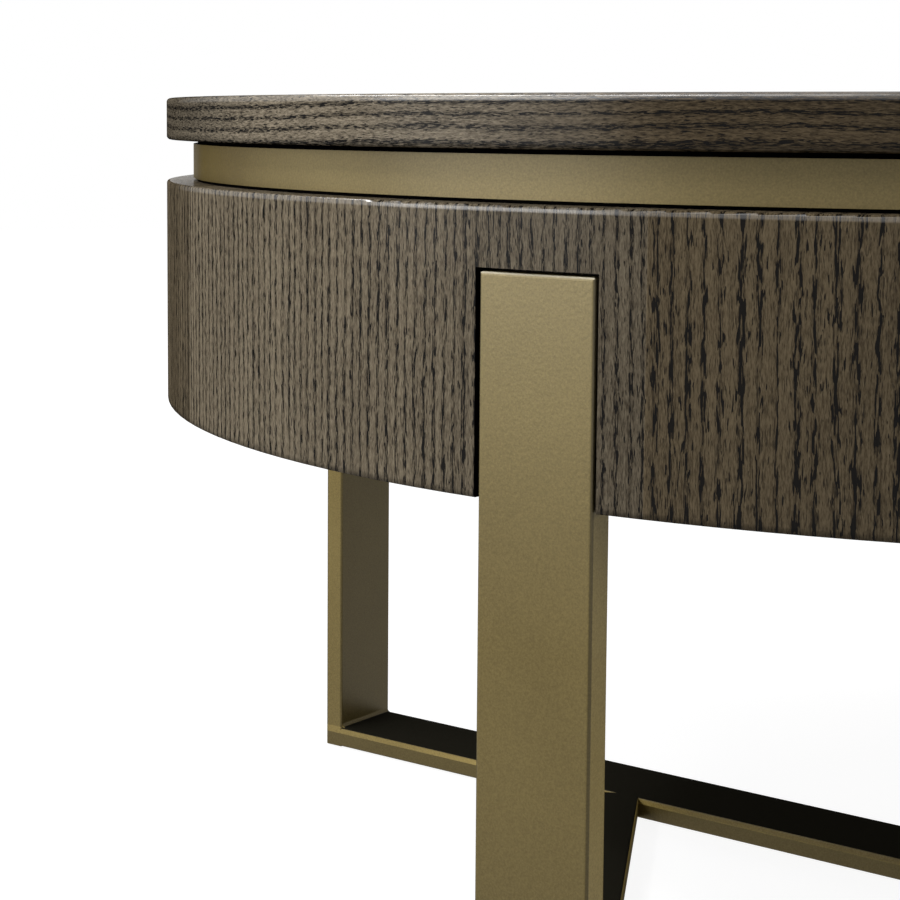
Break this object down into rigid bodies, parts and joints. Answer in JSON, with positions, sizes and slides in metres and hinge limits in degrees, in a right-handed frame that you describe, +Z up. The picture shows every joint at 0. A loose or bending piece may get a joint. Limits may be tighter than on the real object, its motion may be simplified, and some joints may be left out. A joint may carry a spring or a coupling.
{
  "type": "coffee table",
  "caption": "Round oak coffee table: drum with two bow-front drawers under a top on a recessed metal band, four flat metal legs set flush in the drum and joined by floor bars.",
  "frame": {"origin": "on the floor under the middle of the table", "axes": "+Z up, front drawer towards -Y, legs on the diagonals"},
  "size_m": [0.9, 0.9, 0.437],
  "materials": {
    "oak_top": "stained open-pore oak, matt lacquer",
    "oak_lipping": "stained open-pore oak, matt lacquer, grain along the edge",
    "oak_drum": "stained open-pore oak veneer, upright grain, matt lacquer",
    "black_board": "plywood, painted black",
    "drawer_wood": "beech, clear lacquer",
    "bronze": "satin champagne bronze with a fine speckle",
    "zinc_steel": "zinc plated",
    "nylon": "moulded",
    "bumper_rubber": "moulded"
  },
  "bodies": {
    "table": {"top_panel": "oak_top", "top_lipping": "oak_lipping", "neck_ring": "black_board", "neck_band": "bronze", "left_apron": "oak_drum", "right_apron": "oak_drum", "carcass_top": "black_board", "carcass_bottom": "black_board", "left_divider": "black_board", "right_divider": "black_board", "cross_rail": "black_board", "leg_blocks": "drawer_wood", "front_left_leg": "bronze", "back_left_leg": "bronze", "front_right_leg": "bronze", "back_right_leg": "bronze", "long_floor_bar": "bronze", "front_floor_bar": "bronze", "back_floor_bar": "bronze", "corner_welds": "bronze", "floor_glides": "nylon", "leg_bolts": "zinc_steel", "leg_washers": "zinc_steel", "top_screws": "zinc_steel", "bottom_screws": "zinc_steel", "drawer_bumpers": "bumper_rubber", "front_runner_outers": "zinc_steel", "back_runner_outers": "zinc_steel"},
    "front_runner_slides": {"front_runner_middles": "zinc_steel"},
    "front_drawer": {"front_drawer_front": "oak_drum", "front_drawer_left_side": "drawer_wood", "front_drawer_right_side": "drawer_wood", "front_drawer_back": "drawer_wood", "front_drawer_bottom": "drawer_wood", "front_runner_inners": "zinc_steel"},
    "back_runner_slides": {"back_runner_middles": "zinc_steel"},
    "back_drawer": {"back_drawer_front": "oak_drum", "back_drawer_left_side": "drawer_wood", "back_drawer_right_side": "drawer_wood", "back_drawer_back": "drawer_wood", "back_drawer_bottom": "drawer_wood", "back_runner_inners": "zinc_steel"}
  },
  "joints": [
    {"name": "front_drawer_slide", "type": "slide", "parent": "table", "child": "front_drawer", "axis": [0, -1, 0], "range_m": [0, 0.32]},
    {"name": "front_runner_slide", "type": "slide", "parent": "table", "child": "front_runner_slides", "axis": [0, -1, 0], "range_m": [0, 0.16]},
    {"name": "back_drawer_slide", "type": "slide", "parent": "table", "child": "back_drawer", "axis": [0, 1, 0], "range_m": [0, 0.32]},
    {"name": "back_runner_slide", "type": "slide", "parent": "table", "child": "back_runner_slides", "axis": [0, 1, 0], "range_m": [0, 0.16]}
  ],
  "couplings": [
    {"joint": "front_runner_slide", "follows": "front_drawer_slide", "ratio": 0.5},
    {"joint": "back_runner_slide", "follows": "back_drawer_slide", "ratio": 0.5}
  ]
}
